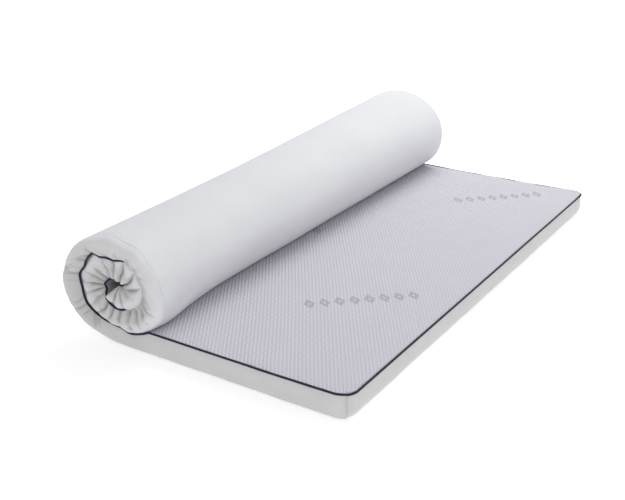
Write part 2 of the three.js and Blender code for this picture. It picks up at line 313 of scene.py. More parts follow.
def add_mesh(name, points, quads, cloth, material):
    """A smooth mesh of quads. cloth gives each point's place on its cloth, in metres, as its UV."""
    mesh = bpy.data.meshes.new(name)
    mesh.vertices.add(len(points))
    mesh.vertices.foreach_set("co", points.astype(np.float32).ravel())
    mesh.loops.add(quads.size)
    mesh.loops.foreach_set("vertex_index", quads.astype(np.int32).ravel())
    mesh.polygons.add(len(quads))
    mesh.polygons.foreach_set("loop_start", np.arange(0, quads.size, 4, dtype=np.int32))
    mesh.polygons.foreach_set("use_smooth", np.ones(len(quads), bool))
    layer = mesh.uv_layers.new(name="cloth")
    layer.data.foreach_set("uv", cloth[quads.ravel()].astype(np.float32).ravel())
    mesh.update(calc_edges=True)
    mesh.validate()
    mesh.materials.append(material)
    return add_object(name, mesh)


def grid_normals(points):
    normal = np.cross(np.gradient(points, axis=0), np.gradient(points, axis=1))
    normal /= np.maximum(np.linalg.norm(normal, axis=-1, keepdims=True), 1e-12)
    return normal


# The hollows measured below are the mask for painted shade in the folds of the rolled near wall.
HOLLOW_DEPTH = 0.0016  # a point that lies this far below its surroundings gets 1
HOLLOW_REACH = 14  # rounds of smoothing that make up the surroundings


def hollows(points):
    """0..1, how deep each point of a grid lies below the middle of its surroundings."""
    around = points
    for _ in range(HOLLOW_REACH):
        for axis in (0, 1):
            before = np.concatenate([np.take(around, [0], axis), np.delete(around, -1, axis)], axis)
            after = np.concatenate([np.delete(around, 0, axis), np.take(around, [-1], axis)], axis)
            around = (before + 2 * around + after) / 4
    return np.clip(((around - points) * grid_normals(points)).sum(-1) / HOLLOW_DEPTH, 0, 1)


def keep_painted_shade(piece, points, weight):
    """Stores the hollows of a cloth's front on both its sides, as a mask of painted shade for its material
    to darken.
    """
    share = (hollows(points) * weight).ravel()
    # the hollow attribute carries the painted shade mask
    attribute = piece.data.attributes.new("hollow", "FLOAT", "POINT")
    attribute.data.foreach_set("value", np.concatenate([share, share]).astype(np.float32))


def grid_quads(rows, columns):
    index = np.arange(rows * columns).reshape(rows, columns)
    return np.stack([index[:-1, :-1], index[1:, :-1], index[1:, 1:], index[:-1, 1:]], -1).reshape(-1, 4)


def add_closed(name, front, back, cloth, material, flip=False):
    """A closed mesh between two grids of points."""
    rows, columns = front.shape[:2]
    total = rows * columns
    index = np.arange(total).reshape(rows, columns)
    rim = np.concatenate([index[0, :], index[1:, -1], index[-1, -2::-1], index[-2:0:-1, 0]])
    after = np.roll(rim, -1)
    quads = grid_quads(rows, columns)
    sides = np.stack([rim, after, after + total, rim + total], -1)
    quads = np.concatenate([quads, quads[:, ::-1] + total, sides])
    if flip:
        quads = quads[:, ::-1]
    points = np.concatenate([front.reshape(-1, 3), back.reshape(-1, 3)])
    places = cloth.reshape(-1, 2)
    return add_mesh(name, points, quads, np.concatenate([places, places]), material)


def add_cloth(name, points, cloth, thick, material, flip=False):
    """A cloth of that thickness behind a grid of points."""
    behind = points + grid_normals(points) * (thick if flip else -thick)
    return add_closed(name, points, behind, cloth, material, flip)


CORD_SIDES = 8
CORD_CAP = np.array([[0, 1, 2, 3], [0, 3, 4, 7], [4, 5, 6, 7]])  # quads that close an end


def add_cord(name, path, radius, reference, material):
    """A round cord along a path. Its UV runs along it and round it, in metres."""
    tangent = np.gradient(path, axis=0)
    tangent /= np.linalg.norm(tangent, axis=1, keepdims=True)
    side = np.cross(tangent, np.broadcast_to(np.array(reference, float), path.shape))
    side /= np.linalg.norm(side, axis=1, keepdims=True)
    up = np.cross(side, tangent)
    radius = np.broadcast_to(np.asarray(radius, float), len(path))
    along = np.concatenate([[0], np.cumsum(np.linalg.norm(np.diff(path, axis=0), axis=1))])
    rings, cloth = [], []
    for i in range(CORD_SIDES):
        angle = TURN * i / CORD_SIDES
        rings.append(path + (side * np.cos(angle) + up * np.sin(angle)) * radius[:, None])
        cloth.append(np.stack([along, np.full(len(path), i * TURN * radius.mean() / CORD_SIDES)], -1))
    points = np.stack(rings, 1)
    index = np.arange(len(path) * CORD_SIDES).reshape(len(path), CORD_SIDES)
    after = np.roll(index, -1, axis=1)
    quads = np.stack([index[:-1], after[:-1], after[1:], index[1:]], -1).reshape(-1, 4)
    quads = np.concatenate([quads, CORD_CAP[:, ::-1], index[-1][CORD_CAP]])
    return add_mesh(name, points.reshape(-1, 3), quads, np.stack(cloth, 1).reshape(-1, 2), material)


# -------- node materials


class Nodes:
    """A material's node tree, with short ways to add to it."""

    def __init__(self, name):
        self.material = bpy.data.materials.new(name)
        self.material.use_nodes = True
        self.tree = self.material.node_tree
        self.shader = self.tree.nodes["Principled BSDF"]
        uv = self.add("ShaderNodeUVMap")
        uv.uv_map = "cloth"
        self.cloth = uv.outputs["UV"]

    def add(self, kind, **settings):
        node = self.tree.nodes.new(kind)
        for key, value in settings.items():
            setattr(node, key, value)
        return node

    def wire(self, source, socket):
        if isinstance(source, (int, float, tuple, list)):
            socket.default_value = source
        else:
            self.tree.links.new(source, socket)

    def calc(self, operation, *values):
        """The result of a math node."""
        node = self.add("ShaderNodeMath", operation=operation)
        for value, socket in zip(values, node.inputs):
            self.wire(value, socket)
        return node.outputs[0]

    def along(self, source, direction):
        """How far a place on the cloth lies in a direction."""
        dot = self.add("ShaderNodeVectorMath", operation="DOT_PRODUCT")
        self.wire(source, dot.inputs[0])
        dot.inputs[1].default_value = (direction[0], direction[1], 0)
        return dot.outputs["Value"]

    def wave(self, vector_share, period):
        """Cosine, -1..1, of one share (u, v) of the cloth's place, with that period in metres."""
        u, v = vector_share
        return self.calc("COSINE", self.along(self.cloth, (u * TURN / period, v * TURN / period)))

    def ramp(self, value, low, high):
        """0 at low to 1 at high, smoothly."""
        node = self.add("ShaderNodeMapRange", interpolation_type="SMOOTHSTEP")
        for source, socket in zip((value, low, high), node.inputs):
            self.wire(source, socket)
        return node.outputs[0]

    def noise(self, scale, detail=2.0, source=None):
        node = self.add("ShaderNodeTexNoise")
        node.inputs["Scale"].default_value = scale
        node.inputs["Detail"].default_value = detail
        self.wire(self.cloth if source is None else source, node.inputs["Vector"])
        return node.outputs["Fac"]

    def object_place(self):
        return self.add("ShaderNodeTexCoord").outputs["Object"]

    def blend(self, share, first, second):
        """Two colours mixed. A mix node's colours are its inputs 6 and 7, and its output 2."""
        node = self.add("ShaderNodeMix", data_type="RGBA")
        self.wire(share, node.inputs["Factor"])
        self.wire(first, node.inputs[6])
        self.wire(second, node.inputs[7])
        return node.outputs[2]

    def finish(self, colour, height, depth, roughness, sheen=0.0, metallic=0.0):
        """The material, with that colour and with bumps of that depth in metres."""
        bump = self.add("ShaderNodeBump")
        bump.inputs["Distance"].default_value = depth
        bump.inputs["Strength"].default_value = 1.0
        self.wire(height, bump.inputs["Height"])
        self.wire(bump.outputs["Normal"], self.shader.inputs["Normal"])
        self.wire(colour, self.shader.inputs["Base Color"])
        self.shader.inputs["Roughness"].default_value = roughness
        self.shader.inputs["Metallic"].default_value = metallic
        self.shader.inputs["Specular IOR Level"].default_value = 0.25
        self.shader.inputs["Sheen Weight"].default_value = sheen
        self.shader.inputs["Sheen Roughness"].default_value = 0.5
        return self.material


def shade(red, green, blue):
    return (red, green, blue, 1.0)


RIB = 0.0084  # pitch of the top knit's ribs
DOT = 0.025  # spacing of the raised dots along a rib
BIAS = math.radians(33)  # the ribs run this far off the mattress's own direction
RIB_RELIEF, DOT_RELIEF, YARN_RELIEF = 0.38, 0.80, 0.35
TOP_DEPTH = 0.0012  # of the top knit's relief

MOTIF_PLACES = ((0.42, -0.34), (0.41, 0.543), (-0.005, -0.095))  # middles of the plain rows
MOTIF_BIAS = math.radians(44)
MOTIF_LENGTH = 0.30
MOTIF_SHARE = 0.75  # how much of its own colour a lozenge has
LOZENGE = 0.0375  # pitch of the lozenges in a row
LOZENGE_HALF_WIDTH = LOZENGE / 2.6
LOZENGE_HALF_HEIGHT = 0.052 / 2
LOZENGE_HOLE = 0.30  # size of the hole, as a share of the lozenge


def lozenge_row(n, centre):
    """1 on a plain row of hollow lozenges, 0 off it."""
    away = n.add("ShaderNodeVectorMath", operation="SUBTRACT")
    n.wire(n.cloth, away.inputs[0])
    away.inputs[1].default_value = (centre[0], centre[1], 0)
    along = n.along(away.outputs[0], (math.cos(MOTIF_BIAS), math.sin(MOTIF_BIAS)))
    over = n.along(away.outputs[0], (-math.sin(MOTIF_BIAS), math.cos(MOTIF_BIAS)))
    cell = n.calc("PINGPONG", n.calc("ADD", along, MOTIF_LENGTH), LOZENGE / 2)
    from_middle = n.calc("ABSOLUTE", n.calc("SUBTRACT", cell, LOZENGE / 2))
    height = n.calc("MULTIPLY", n.calc("ABSOLUTE", over), 1 / LOZENGE_HALF_HEIGHT)
    reach = n.calc("MULTIPLY_ADD", from_middle, 1 / LOZENGE_HALF_WIDTH, height)
    inside = n.calc("LESS_THAN", reach, 1.0)
    hollow = n.calc("GREATER_THAN", reach, LOZENGE_HOLE)
    ends = n.calc("LESS_THAN", n.calc("ABSOLUTE", along), MOTIF_LENGTH / 2)
    return n.calc("MULTIPLY", n.calc("MULTIPLY", inside, hollow), ends)


def top_knit():
    n = Nodes("top_knit")
    ribs = n.wave((math.cos(BIAS), math.sin(BIAS)), RIB)
    half_ribs = n.wave((math.cos(BIAS), math.sin(BIAS)), 2 * RIB)
    rows = n.wave((-math.sin(BIAS), math.cos(BIAS)), DOT)
    dots = n.calc("MAXIMUM", n.calc("MULTIPLY", half_ribs, rows), 0.0)
    dots = n.calc("POWER", dots, 1.6)
    relief = n.calc("MULTIPLY_ADD", dots, DOT_RELIEF, n.calc("MULTIPLY", ribs, RIB_RELIEF))
    yarn = n.noise(900, detail=1)
    relief = n.calc("MULTIPLY_ADD", yarn, YARN_RELIEF, relief)
    patches = n.noise(9, detail=3)
    tint = n.noise(26, detail=1)
    base = n.blend(patches, shade(0.575, 0.565, 0.63), shade(0.635, 0.63, 0.68))
    base = n.blend(n.calc("MULTIPLY", tint, 0.25), base, shade(0.64, 0.58, 0.60))
    level = n.calc("MULTIPLY_ADD", relief, 0.42, 0.45)
    level = n.calc("MINIMUM", n.calc("MAXIMUM", level, 0.0), 1.0)
    colour = n.blend(level, shade(0.475, 0.46, 0.525), base)
    for centre in MOTIF_PLACES:
        motif = n.calc("MULTIPLY", lozenge_row(n, centre), MOTIF_SHARE)
        colour = n.blend(motif, colour, shade(0.345, 0.335, 0.40))
    return n.finish(colour, relief, TOP_DEPTH, roughness=0.85, sheen=0.15)


def white_knit():
    n = Nodes("white_knit")
    wales = n.wave((0.0, 1.0), 0.0016)
    courses = n.wave((1.0, 0.0), 0.0021)
    relief = n.calc("MULTIPLY_ADD", n.noise(240, detail=3), 1.2, n.calc("MULTIPLY", wales, courses))
    patches = n.noise(5, detail=3)
    colour = n.blend(patches, shade(0.71, 0.72, 0.755), shade(0.79, 0.795, 0.82))
    return n.finish(colour, relief, depth=0.00025, roughness=0.8, sheen=0.25)


UNDER_FROM, UNDER_TO = 0.030, 0.006  # heights between which the wall gets the underside's white
ROLLED_FROM, ROLLED_TO = -0.12, -0.30  # lengths between which that starts, in the roll
# painted shade: the deepest hollows of the near wall are blended towards dark grey
PAINTED_SHADE_SHARE = 0.62  # how much the deepest hollows darken


def border_knit():
    n = Nodes("border_knit")
    wales = n.wave((1.0, 0.0), 0.0018)
    courses = n.wave((0.0, 1.0), 0.0018)
    relief = n.calc("MULTIPLY_ADD", n.noise(300, detail=3), 1.3, n.calc("MULTIPLY", wales, courses))
    patches = n.noise(14, detail=4)
    colour = n.blend(patches, shade(0.625, 0.615, 0.62), shade(0.715, 0.705, 0.70))
    split = n.add("ShaderNodeSeparateXYZ")
    n.wire(n.cloth, split.inputs[0])
    under = n.ramp(split.outputs["Y"], UNDER_FROM, UNDER_TO)
    rolled = n.ramp(split.outputs["X"], ROLLED_FROM, ROLLED_TO)
    turned = n.calc("MULTIPLY", under, rolled)
    colour = n.blend(turned, colour, shade(0.75, 0.755, 0.785))
    # painted shade in the wall's folds and pleats, darkest where they lie deepest
    hollow = n.add("ShaderNodeAttribute", attribute_name="hollow").outputs["Fac"]
    colour = n.blend(n.calc("MULTIPLY", hollow, PAINTED_SHADE_SHARE), colour, shade(0.36, 0.34, 0.34))
    return n.finish(colour, relief, depth=0.0003, roughness=0.85, sheen=0.15)


def piping_cloth():
    n = Nodes("piping")
    twill = n.wave((0.7, 0.7), 0.0012)
    relief = n.calc("MULTIPLY_ADD", n.noise(500), 0.8, twill)
    worn = n.noise(60, detail=3)
    colour = n.blend(worn, shade(0.006, 0.004, 0.022), shade(0.020, 0.015, 0.055))
    return n.finish(colour, relief, depth=0.0002, roughness=0.6, sheen=0.05)


def foam(name, light, dark):
    n = Nodes(name)
    pores = n.add("ShaderNodeTexVoronoi")
    pores.inputs["Scale"].default_value = 420
    n.wire(n.object_place(), pores.inputs["Vector"])
    patches = n.noise(30, detail=3, source=n.object_place())
    colour = n.blend(n.calc("MULTIPLY", patches, 0.6), light, dark)
    return n.finish(colour, pores.outputs["Distance"], depth=0.0006, roughness=0.95)


def woven(name, light, dark, pitch):
    n = Nodes(name)
    warp, weft = n.wave((1.0, 0.0), pitch), n.wave((0.0, 1.0), pitch)
    relief = n.calc("MULTIPLY_ADD", n.noise(400), 0.6, n.calc("MULTIPLY", warp, weft))
    colour = n.blend(n.noise(18, detail=3), light, dark)
    return n.finish(colour, relief, depth=0.0002, roughness=0.85, sheen=0.05)


def zip_plastic():
    n = Nodes("zip_coil")
    speckle = n.noise(700, source=n.object_place())
    colour = n.blend(speckle, shade(0.52, 0.51, 0.55), shade(0.62, 0.61, 0.65))
    return n.finish(colour, speckle, depth=0.00005, roughness=0.35)


def zip_metal():
    n = Nodes("zip_metal")
    grain = n.noise(900, detail=3, source=n.object_place())
    smears = n.noise(120, source=n.object_place())
    colour = n.blend(smears, shade(0.50, 0.51, 0.53), shade(0.66, 0.67, 0.69))
    return n.finish(colour, grain, depth=0.00004, roughness=0.35, metallic=0.9)


TOP_KNIT, WHITE_KNIT, BORDER_KNIT = top_knit(), white_knit(), border_knit()
PIPING = piping_cloth()
MEMORY = foam("memory_foam", shade(0.68, 0.60, 0.80), shade(0.60, 0.52, 0.72))
SUPPORT = foam("base_foam", shade(0.86, 0.82, 0.70), shade(0.78, 0.73, 0.58))
LINER = woven("liner", shade(0.86, 0.86, 0.84), shade(0.80, 0.80, 0.79), 0.0012)
TAPE = woven("zip_tape", shade(0.58, 0.57, 0.61), shade(0.66, 0.65, 0.68), 0.0010)
LABEL = woven("label", shade(0.85, 0.85, 0.85), shade(0.78, 0.78, 0.80), 0.0008)
COIL, METAL = zip_plastic(), zip_metal()

# -------- how the cloth lies


def corner_ramp(along, end):
    """0 along a wall, 1 at the foot corner where it ends."""
    return np.clip((along - (end - CORNER_WALL)) / CORNER_WALL, 0, 1)


def side_edge(side, station, outset, height, lift=0.0):
    """A point of the near (side -1) or far (side 1) wall, outset from the cover's outline."""
    return place(station + outset * corner_ramp(station, FOOT), side * (HALF + outset), height, lift)


def foot_edge(y, outset, height):
    """A point of the foot wall, outset from the cover's outline."""
    return place(FOOT + outset, y + np.sign(y) * outset * corner_ramp(np.abs(y), HALF), height)


def seam_sink(length):
    """How far a piped seam dips below the even line, along a side."""
    return 0.0010 * wander_noise(length / 0.085, 2.0) + 0.0014 * wander_noise(length / 0.30, 6.0)


def free_share(station):
    """0 near the roll, 1 on the part of the flat that nothing lies on."""
    return smooth(0.09, 0.20, station)


# heights of the top panel's shapes
CROWN = 0.0040
CROWN_EDGE = 0.045  # the crown rises over about this much of the panel's edge
BROAD_WAVES = 0.0016
SIDE_FOLDS = 0.0030
CORNER_FOLDS = 0.0036
PUCKERS = 0.0013
SHOULDER = 0.0040  # ridge beside the far seam
FAR_DROP = 0.0025  # how far the far seam is pulled down behind it


def far_drop(station):
    return -FAR_DROP * free_share(station)


def top_lift(station, y):
    """Crown, folds and puckers of the top panel, above the seam's height."""
    length = length_at(station)
    near, far = y + HALF, HALF - y
    foot = np.where(station > 0, FOOT - station, 1.0)
    side = np.minimum(near, far)
    free = free_share(station)
    crown = CROWN * (1 - fade(side, CROWN_EDGE)) * (1 - fade(foot, CROWN_EDGE)) * mix(0.25, 1, free)
    broad = BROAD_WAVES * wave_noise(station / 0.21 + 3, y / 0.24) * free * smooth(0, 0.12, side)
    long_folds = wave_noise((station + 0.7 * y) / 0.045, (station - y) / 0.22 + 30)
    folds = SIDE_FOLDS * long_folds * fade(side, 0.09) * (1 - fade(side, 0.010)) * free
    short_folds = wave_noise((station - y) / 0.020, (station + y) / 0.10)
    corner = CORNER_FOLDS * short_folds * fade(foot + side, 0.06) * free
    pucker_side = seam_noise(length / 0.034, np.sign(y) * 5 + side / 0.09)
    pucker_foot = seam_noise(y / 0.036 + 20, foot / 0.09)
    pucker = PUCKERS * (
        pucker_side * fade(side, 0.030) * (1 - fade(side, 0.006))
        + pucker_foot * fade(foot, 0.030) * (1 - fade(foot, 0.006))
    )
    sink = seam_sink(length) * fade(side, 0.04)
    shoulder = SHOULDER * (1 - fade(far, 0.006)) * fade(far, 0.10) * free
    drop = far_drop(station) * fade(far, 0.012)
    return crown + broad + folds + corner + pucker + sink + shoulder + drop


CURL_SHARE = 0.4  # share of a wall's cloth that curls under


def wall_profile(v, bulge, curl, belly):
    """Outset and height of a wall that curls under at its foot: v is 0 at the underside, 1 at the seam."""
    turn = np.clip(v / CURL_SHARE, 0, 1) * math.pi / 2
    w = np.clip((v - CURL_SHARE) / (1 - CURL_SHARE), 0, 1)
    low = v < CURL_SHARE
    outset = np.where(low, -curl + (bulge + curl) * np.sin(turn), bulge * (1 - w**2))
    height = np.where(low, belly * (1 - np.cos(turn)), mix(belly, 1, w)) * THICK
    return outset, height


# depth of the pleats in the near wall where it is rolled: turn in degrees, metres
PLEAT_DEPTH = (
    (0, 0.0), (25, 0.0050), (95, 0.0045), (130, 0.0020), (200, 0.0030),
    (250, 0.0100), (330, 0.0110), (400, 0.0100), (470, 0.0140), (560, 0.0180),
    (765, 0.0140),
)
PLEAT = 0.030  # length of mattress that one pleat takes up
WALL_SEAM = math.radians(98)  # where the wall's two lengths are joined
WALL_SEAM_DEPTH, WALL_SEAM_WIDTH = 0.0045, 0.0022
FLAT_BULGE, ROLLED_BULGE = 0.0040, 0.0150
FIRST_BULGE = 0.0120  # more bulge in the roll's first turn, round 1.45 radians
DRAPE_DEPTH = 0.0080  # of the broad dents between the pleats
RIPPLE = 0.0010  # unevenness of the walls


def rolled_share(station):
    """0 on the flat part, 1 in the roll."""
    return smooth(0.0, 0.7, -station)


def side_curl(station):
    """Radius with which a side wall curls under."""
    return mix(0.010, 0.009, rolled_share(station))


def near_wall(station, v):
    """The near border: a soft even wall on the flat, a bulging pleated one round the roll's end."""
    turn, length = np.maximum(-station, 0), length_at(station)
    rolled = rolled_share(station)
    held = 1 - v**8
    bulge = mix(FLAT_BULGE, ROLLED_BULGE, rolled) * mix(1, 0.75, smooth(TURN, TURN + 1, turn))
    bulge = bulge + FIRST_BULGE * hump(turn, 1.45, 0.85)
    bulge = bulge * (1 + 0.22 * pleat_noise(length / 0.11, 40.0))
    outset, height = wall_profile(v, bulge, side_curl(station), mix(0.30, 0.42, rolled))
    degrees, depths = zip(*PLEAT_DEPTH)
    depth = np.interp(np.degrees(turn), degrees, depths)
    slant = 0.9 * hump(turn, 1.1, 0.6)
    phase = length / PLEAT + 0.55 * pleat_noise(length / 0.05, v * 1.5) + slant * (1 - v)
    fold = 2 * np.abs(np.sin(math.pi * phase)) ** 0.7 - 1.2
    size = 0.7 + 0.7 * pleat_noise(np.round(phase) * 0.71, 17.0)
    outset = outset + depth * size * fold * v**1.2 * held
    fine = 1 - np.abs(pleat_noise(length / 0.011 + 2.0 * v, v * 1.2 + 9)) ** 0.5
    outset = outset - 0.45 * depth * fine * smooth(0.25, 0.8, v) * (1 - v**12)
    drape = pleat_noise(length / 0.040 + 1.1 * v + 7, v * 1.1 + 20)
    outset = outset - DRAPE_DEPTH * rolled * smooth(0.05, 0.5, drape) * smooth(0.1, 0.4, v) * held
    seam = hump((turn - WALL_SEAM) * NEAR_RADIUS, 0, WALL_SEAM_WIDTH)
    outset = outset - WALL_SEAM_DEPTH * seam * smooth(0.05, 0.2, v) * held
    outset = outset + RIPPLE * seam_noise(length / 0.045, v * 2 + 50) * held
    outset = outset - seam_tuck(turn) * v**4
    return side_edge(-1, station, outset, height, seam_sink(length) * v)


SETTLE_FRAMES = 24
SETTLE_CAP = 0.016  # the most that a point of the wall moves
CUT_SHARE = 0.97  # length the wall is cut to, as a share of its outer edge in place
HELD_FROM = 0.12  # station from which the flat wall is held all over


def settle_cloth(start, flat, pinned):
    """Cloth simulation of a grid with the cut it has flat. Returns how far each point moves."""
    rows, columns = start.shape[:2]
    quads = grid_quads(rows, columns)
    piece = add_mesh("settling", start.reshape(-1, 3), quads, np.zeros((rows * columns, 2)), BORDER_KNIT)
    piece.shape_key_add(name="Basis")
    cut = piece.shape_key_add(name="cut")
    cut.data.foreach_set("co", flat.reshape(-1, 3).astype(np.float32).ravel())
    group = piece.vertex_groups.new(name="sewn")
    group.add([int(i) for i in np.flatnonzero(pinned.ravel())], 1.0, "REPLACE")
    cloth = piece.modifiers.new("cloth", "CLOTH")
    settings = cloth.settings
    settings.rest_shape_key = cut
    settings.vertex_group_mass = "sewn"
    settings.effector_weights.gravity = 0
    settings.quality = 8
    settings.mass = 0.15
    settings.air_damping = 6
    settings.tension_stiffness = settings.compression_stiffness = 40
    settings.shear_stiffness = 10
    settings.bending_stiffness = 0.3
    settings.tension_damping = settings.compression_damping = 6
    settings.bending_damping = 0.5
    cloth.point_cache.frame_start = 1
    cloth.point_cache.frame_end = SETTLE_FRAMES
    scene = bpy.context.scene
    for step in range(1, SETTLE_FRAMES + 1):
        scene.frame_set(step)
    settled = piece.evaluated_get(bpy.context.evaluated_depsgraph_get())
    points = np.zeros(rows * columns * 3, np.float32)
    settled.data.vertices.foreach_get("co", points)
    scene.frame_set(1)
    bpy.data.objects.remove(piece)
    move = points.reshape(rows, columns, 3) - start
    size = np.maximum(np.linalg.norm(move, axis=-1, keepdims=True), 1e-9)
    return move * SETTLE_CAP * np.tanh(size / SETTLE_CAP) / size


def wall_crumple(station, v):
    """How the near wall buckles where it is rolled, because its inner edge has length to spare."""
    coarse_s, coarse_v = stations(0.0055), np.linspace(0, 1, 15)
    grid_s, grid_v = grid(coarse_s, coarse_v)
    start = near_wall(grid_s, grid_v)
    outer = np.linalg.norm(np.diff(start[:, 0], axis=0), axis=1)
    along = np.concatenate([[0], np.cumsum(outer)]) * CUT_SHARE
    up = np.linalg.norm(np.diff(start[len(start) // 2], axis=0), axis=1)
    profile = np.concatenate([[0], np.cumsum(up)])
    flat_s, flat_v = grid(along, profile)
    flat = np.stack([flat_s, np.zeros_like(flat_s), flat_v], -1)
    pinned = (grid_v == 0) | (grid_v == 1) | (grid_s > HELD_FROM)
    pinned[0] = True
    move = settle_cloth(start, flat, pinned)
    row = np.interp(length_at(station), length_at(coarse_s), np.arange(len(coarse_s)))
    column = v * (len(coarse_v) - 1)
    return resample(move, row, column)


def resample(table, row, column):
    """Values between a table's points, smooth along both."""
    result = 0
    for values, offset in cubic_weights(row, table.shape[0]):
        for more, side in cubic_weights(column, table.shape[1]):
            result = result + table[offset, side] * (values * more)[..., None]
    return result


def cubic_weights(place_in, count):
    """Catmull-Rom weights and the four grid lines that they go with."""
    base = np.clip(np.floor(place_in).astype(int), 0, count - 2)
    t = place_in - base
    weights = (
        -0.5 * t + t**2 - 0.5 * t**3,
        1 - 2.5 * t**2 + 1.5 * t**3,
        0.5 * t + 2 * t**2 - 1.5 * t**3,
        -0.5 * t**2 + 0.5 * t**3,
    )
    return [(w, np.clip(base + k - 1, 0, count - 1)) for k, w in enumerate(weights)]


TAPE_LOW, TAPE_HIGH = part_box("zip_tape_lower_foot"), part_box("zip_tape_upper_foot")
TAPE_OVERLAP = 0.002  # how much of each tape its band covers
ZIP_LOW, ZIP_HIGH = TAPE_LOW[0].z + TAPE_OVERLAP, TAPE_HIGH[1].z - TAPE_OVERLAP
FAR_SWELL, FAR_ROLLED_SWELL = 0.0022, 0.0060  # how far each far band swells between its seams
FOOT_CURL = 0.014  # how far the foot wall turns under at the floor


def far_profile(height):
    """Outset for the foot wall's far end: the flat far wall's own, but turned under like the foot."""
    low = np.clip(height / ZIP_LOW, 0, 1)
    high = np.clip((height - ZIP_HIGH) / (THICK - ZIP_HIGH), 0, 1)
    turn = np.arccos(1 - low)
    swell = np.sin(math.pi * high) ** 2 + np.sin(2 * turn) ** 2
    return FAR_SWELL * swell - FOOT_CURL * (1 - np.sin(turn))


def foot_wall(y, v):
    outset, height = wall_profile(v, bulge=0.0035, curl=FOOT_CURL, belly=0.34)
    outset = outset + RIPPLE * seam_noise(y / 0.05, v * 2 + 30) * (1 - v**8)
    far_end = smooth(HALF - 0.040, HALF - 0.002, y)
    return foot_edge(y, mix(outset, far_profile(height), far_end), height)


# -------- the cover


def add_top_panel():
    s = stations(0.0060)
    y = spread(-HALF, HALF, step=0.014, edge_step=0.0045, edge=0.10)
    station, side = grid(s, y)
    tuck = seam_tuck(np.maximum(-station, 0)) * np.exp(-(side + HALF) / 0.03)
    points = place(station, side + tuck, THICK, top_lift(station, side))
    cloth = np.stack([length_at(station), side], -1)
    panel = add_cloth("top_panel_cloth", points, cloth, PANEL_CLOTH, TOP_KNIT)
    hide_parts("top_panel", "top_panel_foot")
    return panel


def add_bottom_panel():
    s = stations(0.0065, stop=FOOT - FOOT_CURL)
    y = spread(-1, 1, step=0.014 / HALF, edge_step=0.0045 / HALF, edge=0.10 / HALF)
    station, side = grid(s, y)
    side = side * (HALF - side_curl(station))
    points = place(station, side, 0.0)
    cloth = np.stack([length_at(station), side], -1)
    panel = add_cloth("bottom_panel_cloth", points, cloth, PANEL_CLOTH, WHITE_KNIT, flip=True)
    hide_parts("bottom_panel", "bottom_panel_foot", "bottom_panel_roll")
    return panel


def add_near_border():
    station, v = grid(stations(0.0035), np.linspace(0, 1, 37))
    points = near_wall(station, v)
    points = points + wall_crumple(station, v)
    cloth = np.stack([length_at(station), v * THICK], -1)
    border = add_cloth("near_border_cloth", points, cloth, BORDER_CLOTH, BORDER_KNIT)
    # the hollow attribute paints shade into the rolled wall's folds
    keep_painted_shade(border, points, rolled_share(station))
    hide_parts("near_border", "near_border_foot")
    return border


def add_far_borders():
    """Two bands of the far wall. Both lie flat at the zip, so that the slider runs clear of them."""
    pieces = []
    station, v = grid(stations(0.0050), np.linspace(0, 1, 15))
    length = length_at(station)
    soft = 0.0006 * seam_noise(length / 0.05, v + 60) * np.sin(math.pi * v)
    swell = mix(FAR_SWELL, FAR_ROLLED_SWELL, rolled_share(station))
    turn = v * math.pi / 2
    curl = side_curl(station)
    low_outset = -curl + curl * np.sin(turn) + swell * np.sin(math.pi * v) ** 2 + soft
    low_height = ZIP_LOW * (1 - np.cos(turn))
    high_outset = swell * np.sin(math.pi * v) ** 2 + soft
    high_height = mix(ZIP_HIGH, THICK, v)
    bands = (("lower", low_outset, low_height), ("upper", high_outset, high_height))
    for band, outset, height in bands:
        lift = (seam_sink(length) + far_drop(station)) * v * (band == "upper")
        points = side_edge(1, station, outset, height, lift)
        cloth = np.stack([length, v * THICK / 2], -1)
        border = add_cloth(f"far_border_{band}_cloth", points, cloth, BORDER_CLOTH, BORDER_KNIT, flip=True)
        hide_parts(f"far_border_{band}", f"far_border_{band}_foot")
        pieces.append(border)
    return pieces


def add_foot_border():
    y = spread(-HALF, HALF, step=0.006, edge_step=0.003, edge=0.05)
    y, v = grid(y, np.linspace(0, 1, 25))
    points = foot_wall(y, v)
    cloth = np.stack([y, v * THICK], -1)
    border = add_cloth("foot_border_cloth", points, cloth, BORDER_CLOTH, BORDER_KNIT)
    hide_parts("foot_border")
    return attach(border, "foot_section")


HEAD_BULGE = 0.0030


def add_head_border():
    y = spread(-HALF, HALF, step=0.012, edge_step=0.006, edge=0.05)
    y, v = grid(y, np.linspace(0, 1, 13))
    points = place(np.full_like(y, -HEAD_TURN), y, v * THICK)
    points[..., 0] -= HEAD_BULGE * np.sin(math.pi * v)
    cloth = np.stack([y, v * THICK], -1)
    border = add_cloth("head_border_cloth", points, cloth, BORDER_CLOTH, BORDER_KNIT, flip=True)
    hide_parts("head_border")
    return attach(border, "main_section")


def add_piping():
    """Corded piping in the top panel's seam: two long sides, the foot end and the head end."""
    s = stations(0.0030)
    sink = seam_sink(length_at(s))
    outset = PIPING_RADIUS * PIPING_SHOWS
    crossing = []
    for side, name in ((-1, "near_piping"), (1, "far_piping")):
        tuck = seam_tuck(np.maximum(-s, 0)) * (side < 0)
        path = side_edge(side, s, outset - tuck, THICK, sink + far_drop(s) * (side > 0))
        cord = add_cord(f"{name}_cord", path, PIPING_RADIUS, (0, 1, 0), PIPING)
        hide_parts(name, f"{name}_foot")
        crossing.append(cord)
    y = spread(-HALF, HALF, step=0.005, edge_step=0.002, edge=0.05)
    foot = add_cord("foot_piping_cord", foot_edge(y, outset, THICK), PIPING_RADIUS, (0, 0, 1), PIPING)
    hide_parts("foot_piping")
    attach(foot, "foot_section")
    path = place(np.full_like(y, -HEAD_TURN), y, THICK)
    path[:, 0] -= outset
    head = add_cord("head_piping_cord", path, PIPING_RADIUS, (0, 0, 1), PIPING)
    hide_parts("head_piping")
    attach(head, "main_section")
    return crossing


# -------- inside the cover

